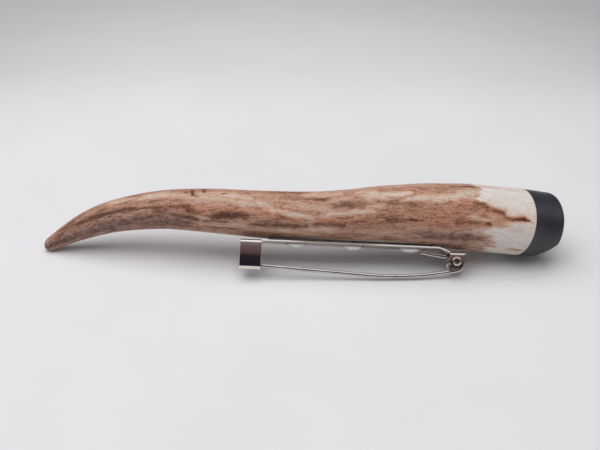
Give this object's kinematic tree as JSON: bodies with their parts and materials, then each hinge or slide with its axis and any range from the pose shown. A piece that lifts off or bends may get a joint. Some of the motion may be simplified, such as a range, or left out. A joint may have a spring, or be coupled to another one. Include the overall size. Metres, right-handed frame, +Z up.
{
  "type": "kilt pin",
  "caption": "Kilt pin made of a curved antler tine with a dark horn cap, and a glued-on metal bar fitting with a hinged wire pin and a hooked catch.",
  "frame": {"origin": "centre of the overall footprint, on the surface that the pin lies on", "axes": "+X along the tine from the tip to the horn cap, +Y away from the side that the wire pin faces, +Z up, lying on its tip, its cap and the far hinge ear"},
  "size_m": [0.1064, 0.0178, 0.0166],
  "materials": {
    "antler": "polished antler, satin, brown bark on pale bone",
    "horn": "satin-polished dark horn",
    "fitting": "bright nickel plate on stamped sheet",
    "rivet": "bright nickel-plated tubular rivet",
    "wire": "drawn and plated spring wire",
    "glue": "cured clear adhesive, cloudy"
  },
  "bodies": {
    "brooch": {"antler_tine": "antler", "end_cap": "horn", "glue_bed": "glue", "glue_bead_1": "glue", "glue_bead_2": "glue", "glue_bead_3": "glue", "back_bar": "fitting", "hinge_rivet": "rivet"},
    "pin": {"pin_wire": "wire"}
  },
  "joints": [
    {"name": "pin_swing", "type": "hinge", "parent": "brooch", "child": "pin", "pos_m": [0.03132, -0.00629, 0.00236], "axis": [0, -0.7826, 0.6225], "range_deg": [0, 165]}
  ]
}
